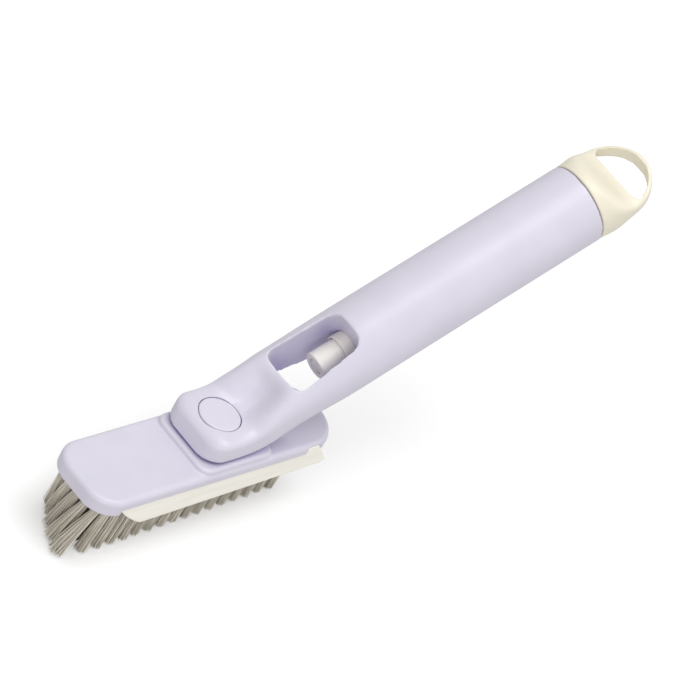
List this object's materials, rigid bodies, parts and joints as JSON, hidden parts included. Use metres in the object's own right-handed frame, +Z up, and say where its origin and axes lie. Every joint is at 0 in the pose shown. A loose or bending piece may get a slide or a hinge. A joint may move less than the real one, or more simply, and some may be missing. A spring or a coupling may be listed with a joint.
{
  "type": "gap cleaning brush",
  "caption": "Hand brush for gaps and corners with a narrow bristle head, a squeegee blade, a thumb release button and a spray bottle inside its angled handle.",
  "frame": {"origin": "middle of the trimmed bristle tips, under the middle of the head", "axes": "+X from the front of the head to the hanging end of the handle, +Z up through the level head, +Y away from the side with the squeegee blade"},
  "size_m": [0.2591, 0.0343, 0.1367],
  "materials": {
    "lavender_plastic": "satin moulded plastic",
    "cream_plastic": "satin moulded plastic",
    "white_plastic": "semi-matt moulded plastic",
    "bottle_plastic": "smooth translucent plastic",
    "cream_rubber": "soft matt rubber",
    "seal_rubber": "matt rubber",
    "bristle_nylon": "stiff drawn nylon",
    "steel": "plain spring steel"
  },
  "bodies": {
    "handle": {"handle_shell": "lavender_plastic", "latch_housing": "white_plastic", "latch_clip": "steel", "latch_screw_1": "steel", "latch_screw_2": "steel", "latch_screw_3": "steel", "latch_screw_4": "steel", "button_spring": "steel", "liquid_bottle": "bottle_plastic", "pump_collar": "white_plastic", "pump_barrel": "white_plastic", "pump_spring": "steel", "inlet_ball": "steel"},
    "button": {"release_button": "lavender_plastic"},
    "nozzle": {"spray_nozzle": "white_plastic", "nozzle_insert": "white_plastic", "pump_stem": "white_plastic", "pump_piston": "seal_rubber"},
    "head": {"head_cover": "lavender_plastic", "bristle_base": "white_plastic", "head_screw_1": "steel", "head_screw_2": "steel", "front_tufts": "bristle_nylon", "bristle_strip_1": "bristle_nylon", "bristle_strip_2": "bristle_nylon", "bristle_strip_3": "bristle_nylon", "bristle_strip_4": "bristle_nylon", "bristle_strip_5": "bristle_nylon", "squeegee_blade": "cream_rubber"},
    "seal": {"cap_seal": "seal_rubber"},
    "cap": {"end_cap": "cream_plastic"}
  },
  "joints": [
    {"name": "button_press", "type": "slide", "parent": "handle", "child": "button", "axis": [0, 0, -1], "range_m": [0, 0.0015], "stiffness_N_per_m": 400, "springref_m": -0.003, "deforming": ["button_spring"]},
    {"name": "nozzle_press", "type": "slide", "parent": "handle", "child": "nozzle", "axis": [0.8846, 0, 0.4664], "range_m": [0, 0.0038], "stiffness_N_per_m": 300, "springref_m": -0.004, "deforming": ["pump_spring"]},
    {"name": "head_release", "type": "slide", "parent": "handle", "child": "head", "axis": [0, 0, -1], "range_m": [0, 0.012], "deforming": ["latch_clip"]},
    {"name": "cap_lift", "type": "slide", "parent": "handle", "child": "seal", "axis": [0.8846, 0, 0.4664], "range_m": [0, 0.006]},
    {"name": "cap_turn", "type": "hinge", "parent": "seal", "child": "cap", "pos_m": [-0.0037, 0, 0.032], "axis": [0.8846, 0, 0.4664], "range_deg": [0, 270]}
  ],
  "couplings": [
    {"joint": "cap_turn", "follows": "cap_lift", "rad_per_m": 785}
  ]
}
